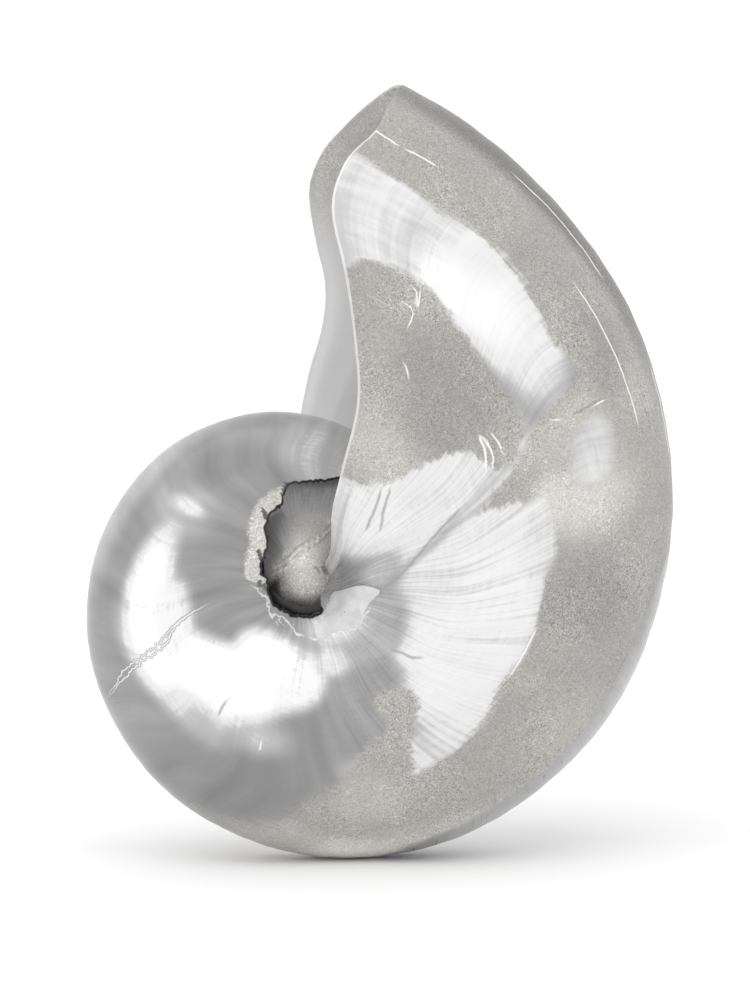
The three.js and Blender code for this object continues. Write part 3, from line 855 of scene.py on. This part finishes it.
# Spots on the dome: the dark ones round its edge and at the top are painted shade in the recess, and the
# light one near its top is painted light against the cavity's shade.
DOME_SHADE_AND_LIGHT_SPOTS = (
    (-6.5, 9, 4, 6, 0, 0.7, 0.6), (2, 22, 12, 2, 0, 0.5, 0.8),
    (-7.5, -1.5, 2.5, 3, 0, 0.36, 0.6), (-1, -6.5, 7, 1.8, 0, 0.24, 0.6),
    (1.5, 9.5, 6, 4.5, 0, 1.06, 0.7),
)
DOME_TONE = 0.9
COMMA = ((1.2, 3.0), (1.9, 2.9), (2.4, 2.2), (2.5, 1.5))
GLINT = ((-3.1, -5.3), (-2.2, -5.5), (-1.4, -5.9))
DOME_GROWN = 1.5  # how far the dome runs out behind the hole's edge
DOME_MIDDLE = (0.0, 5.0)
DOME_UP = 80  # degrees about the pole, the side on which the dome falls off gently
DOME_REACH, DOME_REACH_UP = 11.8, 4.4
DOME_BACK = -2.2
DOME_RISE = 7.0
DOME_THICK = 0.5
RIDGE_APART, RIDGE_WIDTH, RIDGE_HEIGHT = 0.5, 0.3, 0.35


def dome_depth(flat):
    """How deep the domed flank lies, with the double ridge raised on it."""
    x, z = np.moveaxis(flat, -1, 0)
    upward = np.cos(np.arctan2(z, x) - math.radians(DOME_UP))
    share_out = np.clip(np.hypot(x, z) / (DOME_REACH + DOME_REACH_UP * upward), 0, 1)
    gentle = (1 + upward) / 2
    rise = gentle * (1 - share_out**2) ** 2 + (1 - gentle) * (1 - share_out**4)
    offset = line_offsets(flat.reshape(-1, 2), [curve_through(RIDGE)])[0].reshape(x.shape)
    twin = sum(np.exp(-(((offset - side * RIDGE_APART) / RIDGE_WIDTH) ** 2)) for side in (1, -1))
    return DOME_BACK - DOME_RISE * rise - RIDGE_HEIGHT * twin * (0.8 + 0.2 * np.sin(x * 5))


def dome_paint(mesh):
    plane = vertices_from_pole(mesh)[:, [0, 2]]
    x, z = plane.T
    blank = 0 * x
    paint = {name: blank + FAR_OFF for name in (*MARKS, "lip", "edge")}
    paint |= {name + "_weight": blank for name in MARKS}
    ridge, ridge_weight, _ = line_offsets(plane, [curve_through(RIDGE)])
    glint = line_offsets(plane, [np.array(GLINT)])[0]
    by_glint = np.abs(glint) < 1
    # painted highlights: bright lines along both sides of the ridge, and the glint
    paint["bright"] = np.where(by_glint, np.abs(glint) - 0.3, np.abs(ridge) - RIDGE_APART)
    paint["bright_weight"] = np.where(by_glint, 1.0, ridge_weight * smoothstep(1 - (x + 3) / 8))
    paint["dark"], paint["dark_weight"], _ = line_offsets(plane, [curve_through(COMMA)])
    leaf = inside_depth(plane, curve_through(DOME_LEAF, closed=True))
    tone = blend_spots(DOME_TONE + blank, DOME_SHADE_AND_LIGHT_SPOTS, x, z)
    glow = 0.88 + 0.14 * smoothstep((z - 1) / 7)
    store(mesh, line=np.degrees(np.arctan2(z, x)), girth=np.hypot(x, z) / 20, leaf=leaf, tone=tone)
    store(mesh, glow=glow, streak=blank + 0.6, soft=blank + 0.8, scar_along=blank, **paint)


def inner_flank_piece(rings=64):
    """A dome over the inner whorls' umbilicus, which runs out into the chamber behind the hole."""
    edge = ragged_outline(0.1, 0.8, DOME_GROWN)
    middle = np.array(DOME_MIDDLE)
    flat = middle + (edge - middle) * np.linspace(0.01, 1, rings)[:, None, None]
    depth = dome_depth(flat)
    faces = [
        np.stack([flat[..., 0], depth + back, flat[..., 1]], -1).reshape(-1, 3) for back in (0, DOME_THICK)
    ]
    piece = new_mesh("inner_flank", np.vstack(faces), sheet_faces(rings, len(edge)))
    dome_paint(piece.data)
    smooth(piece)
    return piece


# ---- materials ----
GAIN = 0.8  # albedo for a tone of 1, under this studio's light
GAMMA = 2.2


class Paint:
    """A material whose nodes are made by calls that take sockets or plain numbers."""

    def __init__(self, name, **constants):
        self.material = bpy.data.materials.new(name)
        self.material.use_nodes = True
        self.tree = self.material.node_tree
        self.shader = self.tree.nodes["Principled BSDF"]
        for label, value in constants.items():
            self.set(label, value)

    def set(self, label, value):
        self.feed(self.shader.inputs[label.replace("_", " ").title().replace("Ior", "IOR")], value)

    def feed(self, socket, value):
        if isinstance(value, bpy.types.NodeSocket):
            self.tree.links.new(value, socket)
        else:
            socket.default_value = value

    def node(self, kind, *values, **settings):
        node = self.tree.nodes.new("ShaderNode" + kind)
        for name, setting in settings.items():
            setattr(node, name, setting)
        for socket, value in zip(node.inputs, values):
            if value is not None:
                self.feed(socket, value)
        return node

    def attribute(self, name):
        return self.node("Attribute", attribute_name=name).outputs["Fac"]

    def math(self, operation, *values):
        return self.node("Math", *values, operation=operation).outputs[0]

    def add(self, *values):
        total = values[0]
        for value in values[1:]:
            total = self.math("ADD", total, value)
        return total

    def times(self, *values):
        product = values[0]
        for value in values[1:]:
            product = self.math("MULTIPLY", product, value)
        return product

    def ramp(self, value, low, high, start=0.0, end=1.0):
        node = self.node("MapRange", value, low, high, start, end, interpolation_type="SMOOTHSTEP")
        return node.outputs[0]

    def mix(self, factor, a, b):
        return self.add(a, self.times(factor, self.math("SUBTRACT", b, a)))

    def vector(self, x, y, z=0.0):
        return self.node("CombineXYZ", x, y, z).outputs[0]

    def noise(self, vector, scale=1.0, detail=2.0, roughness=0.5, distortion=0.0):
        """Noise about zero, from about -0.5 to 0.5."""
        node = self.node("TexNoise")
        labels = ("Vector", "Scale", "Detail", "Roughness", "Distortion")
        for label, value in zip(labels, (vector, scale, detail, roughness, distortion)):
            self.feed(node.inputs[label], value)
        return self.math("SUBTRACT", node.outputs[0], 0.5)

    def place(self):
        return self.node("TexCoord").outputs["Object"]

    def tint(self, tone, factor, plain, tinted):
        """Colour of a tone, between two tints."""
        bright = self.times(self.math("POWER", self.math("MAXIMUM", tone, 0.0), GAMMA), GAIN)
        colour = self.node("Mix", data_type="RGBA")
        self.feed(colour.inputs["Factor"], factor)
        self.feed(colour.inputs[6], (*plain, 1))
        self.feed(colour.inputs[7], (*tinted, 1))
        scaled = self.node("VectorMath", operation="SCALE")
        self.feed(scaled.inputs[0], colour.outputs[2])
        self.feed(scaled.inputs["Scale"], bright)
        self.set("base_color", scaled.outputs[0])

    def bump(self, height, distance):
        node = self.node("Bump")
        self.feed(node.inputs["Strength"], 1.0)
        self.feed(node.inputs["Distance"], distance)
        self.feed(node.inputs["Height"], height)
        self.set("normal", node.outputs[0])


PEARL_TINT = (1.0, 1.0, 1.004)
LEAF_TINT = (1.0, 0.968, 0.915)


def leaf_grain(paint):
    """The fine crinkle of beaten leaf, and broad soft clouds."""
    grain = paint.noise(paint.place(), 1600.0, 1.5, 0.5, 2.4)
    clouds = paint.noise(paint.place(), 55.0, 3.0, 0.5, 0.3)
    return grain, clouds


# The wall's noises: how fast each runs along the growth and across it, octaves, roughness, distortion.
WALL_NOISES = {
    "streaks": (0.75, 5.0, 4.0, 0.55, 0.0),
    "hairs": (5.0, 9.0, 3.0, 0.6, 0.0),
    "spiral": (0.12, 90.0, 3.0, 0.6, 0.0),
    "brush": (1.3, 16.0, 4.0, 0.6, 0.0),
    "folds": (0.12, 2.6, 1.0, 0.5, 0.3),
}
# Each painted line: waver, half width where it fades out and where it is full, strength, tone.
DRAWN_LINES = {
    "dark": (0.8, 0.45, 0.1, 0.6, 0.6),
    # bright: scratches and painted highlights
    "bright": (0.5, 0.26, 0.08, 1.0, 1.02),
    # crease: painted shade in its groove
    "crease": (0.0, 1.6, 0.0, 0.6, 0.66),
    "vein": (3.0, 0.3, 0.08, 0.8, 0.96),
}
WHITE_PEARL_AND_HIGHLIGHT_RANGE = (0.77, 0.97)  # levels over which grey pearl turns white: partly white pearl, partly painted highlight
GREY_MOST, WHITE_LEAST = 0.85, 0.95


def leaf_share(paint, noises, clouds):
    """How much of the surface is leaf, 0 to 1, with a brushed boundary."""
    waver = (paint.times(noises["brush"], 2.0), paint.times(noises["spiral"], 4.0), paint.times(clouds, 7.0))
    soft = paint.attribute("soft")
    return paint.ramp(paint.add(paint.attribute("leaf"), *waver), paint.times(soft, -1.0), soft)


def pearl_tone(paint, noises):
    """Grey pearl that turns white where its level is high, partly white pearl and partly painted highlight,
    and the growth lines in it.
    """
    streaks, spiral, folds = noises["streaks"], noises["spiral"], noises["folds"]
    level, streak = paint.attribute("tone"), paint.attribute("streak")
    lines = (paint.times(streaks, 0.21), paint.times(noises["hairs"], 0.06), paint.times(spiral, 0.08))
    lines = paint.times(paint.add(*lines), streak)
    brushed = paint.times(streaks, paint.add(paint.times(streak, 0.1), 0.22))
    arcs = paint.times(spiral, paint.add(paint.times(streak, -0.22), 0.34))
    varied = paint.add(brushed, paint.times(folds, 0.34), arcs)
    shine = paint.add(level, paint.times(varied, paint.ramp(streak, 0.0, 0.1)))
    grey = paint.add(paint.math("MINIMUM", level, GREY_MOST), lines, paint.times(folds, 0.2))
    white = paint.add(paint.math("MAXIMUM", level, WHITE_LEAST), paint.times(lines, 0.5))
    return paint.mix(paint.ramp(shine, *WHITE_PEARL_AND_HIGHLIGHT_RANGE), grey, white), lines


def draw_lines(paint, tone, wander):
    for name, (waver, faded, full, strength, line_tone) in DRAWN_LINES.items():
        offset = paint.math("ABSOLUTE", paint.add(paint.attribute(name), paint.times(wander, waver)))
        shown = paint.times(paint.ramp(offset, faded, full), paint.attribute(name + "_weight"), strength)
        tone = paint.mix(shown, tone, line_tone)
    return tone


def draw_scar(paint, tone, wander):
    """Two beaded lines that meet at both ends, each white with a grey border."""
    along = paint.attribute("scar_along")
    beads = paint.noise(paint.vector(paint.times(along, 22.0), 0.0), 1.0, 2.0, 0.5)
    taper = paint.times(paint.ramp(along, 0.86, 0.6), paint.ramp(along, 0.0, 0.16))
    gap = paint.times(paint.math("MAXIMUM", paint.add(paint.times(beads, 2.6), 0.5), 0.06), taper)
    scar = paint.math("ABSOLUTE", paint.add(paint.attribute("scar"), paint.times(wander, 0.9)))
    twin = paint.math("ABSOLUTE", paint.math("SUBTRACT", scar, gap))
    weight = paint.attribute("scar_weight")
    tone = paint.mix(paint.times(paint.ramp(twin, 0.5, 0.2), weight, 0.75), tone, 0.6)
    return paint.mix(paint.times(paint.ramp(twin, 0.2, 0.05), weight), tone, 0.97)


def nacre():
    """Polished pearl, partly painted highlights where it turns white, and silver leaf, with the lines, a
    painted highlight along the lip and painted shade along the broken edge drawn over them.
    """
    paint = Paint("nacre", specular_ior_level=0.5, coat_weight=0.25, coat_roughness=0.12)
    line, girth = paint.attribute("line"), paint.attribute("girth")
    noises = {
        name: paint.noise(paint.vector(paint.times(line, along), paint.times(girth, across)), 1.0, *look)
        for name, (along, across, *look) in WALL_NOISES.items()
    }
    grain, clouds = leaf_grain(paint)
    leaf = leaf_share(paint, noises, clouds)
    pearl, lines = pearl_tone(paint, noises)
    grain_depth = paint.ramp(clouds, -0.12, 0.2, 0.45, 0.9)
    leaf_tone = paint.add(paint.attribute("glow"), paint.times(clouds, 0.14), paint.times(grain, grain_depth))
    tone = paint.mix(leaf, pearl, leaf_tone)

    wander = paint.noise(paint.place(), 420.0, 3.0, 0.6)
    tone = draw_scar(paint, draw_lines(paint, tone, wander), wander)
    # painted highlight: a thin white line along the rounded edge of the near lip
    lip = paint.ramp(paint.add(paint.attribute("lip"), paint.times(wander, 0.4)), 0.26, 0.06)
    tone = paint.mix(paint.times(lip, 0.7), tone, 0.98)
    # painted shade along the broken edge of the hole, near black
    edge = paint.ramp(paint.add(paint.attribute("edge"), paint.times(wander, 0.5)), 0.6, 0.3)
    tone = paint.mix(edge, tone, 0.1)

    paint.tint(tone, leaf, PEARL_TINT, LEAF_TINT)
    paint.set("roughness", paint.mix(leaf, paint.add(paint.times(lines, 0.6), 0.28), 0.5))
    paint.set("metallic", paint.times(leaf, 0.3))
    paint.bump(paint.add(paint.times(lines, 0.6), paint.times(leaf, grain, 0.5)), 0.0001)
    return paint.material


def plain_pearl(name, level, tint, roughness, speckle=0.1):
    """Pearl without growth lines, for the pieces inside the shell and the callus."""
    paint = Paint(name, specular_ior_level=0.5)
    grain, clouds = leaf_grain(paint)
    mottle = paint.noise(paint.place(), 260.0, 3.0, 0.6)
    tone = paint.add(level, paint.times(clouds, 0.14), paint.times(mottle, 0.3))
    tone = paint.add(tone, paint.times(grain, speckle))
    paint.tint(tone, 0.0, tint, tint)
    paint.set("roughness", paint.add(paint.times(clouds, 0.2), roughness))
    paint.bump(grain, 0.00008)
    return paint.material


MATERIALS = {
    "nacre": nacre(),
    "septum": plain_pearl("septum", 0.62, PEARL_TINT, 0.35),
    "siphuncle": plain_pearl("siphuncle", 0.5, (1.0, 0.9, 0.78), 0.75),
    "callus": plain_pearl("callus", 0.87, PEARL_TINT, 0.42, 0.06),
    "callus_far": plain_pearl("callus_far", 0.72, PEARL_TINT, 0.38, 0.08),
}


# ---- assembly ----
def settle(piece, material, slot, *nodes):
    piece.data.materials.clear()
    piece.data.materials.append(MATERIALS[material])
    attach(piece, "root")
    if nodes:
        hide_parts(*nodes)


settle(wall_piece(), "nacre", "nacre", "shell_wall")
septa_outline = ragged_outline(0.1, 0.8, SEPTA_GROWN)
septa_cutter = prism("septa_cutter", septa_outline, BREAK_NEAREST, SEPTA_BREAK_DEEPEST)
for number in range(1, SEPTUM_COUNT + 1):
    edge_turn = LAST_SEPTUM - (SEPTUM_COUNT - number) * SEPTUM_STEP
    septum = septum_piece(f"septum_plate_{number:02d}", edge_turn, septa_cutter)
    settle(septum, "septum", "septum", f"septum_{number:02d}")
bpy.data.objects.remove(septa_cutter)
settle(siphuncle_piece(), "siphuncle", "siphuncle", "siphuncle_tube")
settle(near_callus_piece(), "callus", "callus", "umbilical_callus_near")
settle(far_callus_piece(), "callus_far", "callus", "umbilical_callus_far")
settle(inner_flank_piece(), "nacre", "nacre")


# ---- studio ----
FLOOR_REACH = 60.0
FLOOR_ALBEDO = 0.9
WORLD_STRENGTH = 1.0
SUN_STRENGTH = 1.0
SUN_AZIMUTH, SUN_ELEVATION, SUN_ANGLE = -25, 58, 60


def floor_piece():
    half = FLOOR_REACH / 2
    mesh = bpy.data.meshes.new("floor")
    corners = [(-half, -half, 0), (half, -half, 0), (half, half, 0), (-half, half, 0)]
    mesh.from_pydata(corners, [], [(0, 1, 2, 3)])
    paint = Paint("floor", base_color=(*[FLOOR_ALBEDO] * 3, 1), roughness=0.8)
    mesh.materials.append(paint.material)
    new_object("floor", mesh)


def world_light():
    world = bpy.data.worlds.new("studio")
    bpy.context.scene.world = world
    world.use_nodes = True
    background = world.node_tree.nodes["Background"]
    background.inputs["Color"].default_value = (1, 1, 1, 1)
    background.inputs["Strength"].default_value = WORLD_STRENGTH


def direction(azimuth, elevation):
    """Unit vector towards a place, azimuth 0 being the front (-Y) and turning towards +X."""
    azimuth, elevation = math.radians(azimuth), math.radians(elevation)
    flat = math.cos(elevation)
    return Vector((math.sin(azimuth) * flat, -math.cos(azimuth) * flat, math.sin(elevation)))


def sun():
    light = bpy.data.lights.new("sun", "SUN")
    light.energy = SUN_STRENGTH
    light.angle = math.radians(SUN_ANGLE)
    piece = new_object("sun", light)
    towards = direction(SUN_AZIMUTH, SUN_ELEVATION)
    piece.location = AIM + towards
    piece.rotation_euler = towards.to_track_quat("Z", "Y").to_euler()


AIM = Vector((POLE[0] + 15.4, POLE[1], POLE[2] + 16.5)) / 1000
CAMERA_AZIMUTH, CAMERA_ELEVATION = -6, 5
CAMERA_DISTANCE = 1.1
VIEW_HEIGHT = 0.2146
SENSOR = 24.0


def camera_piece():
    back = direction(CAMERA_AZIMUTH, CAMERA_ELEVATION)
    camera = new_object("camera", bpy.data.cameras.new("camera"))
    camera.location = AIM + back * CAMERA_DISTANCE
    camera.rotation_euler = back.to_track_quat("Z", "Y").to_euler()
    camera.data.sensor_fit = "VERTICAL"
    camera.data.sensor_height = SENSOR
    camera.data.lens = SENSOR * CAMERA_DISTANCE / VIEW_HEIGHT
    bpy.context.scene.camera = camera


floor_piece()
world_light()
sun()
camera_piece()
bpy.context.scene.view_settings.view_transform = "Standard"
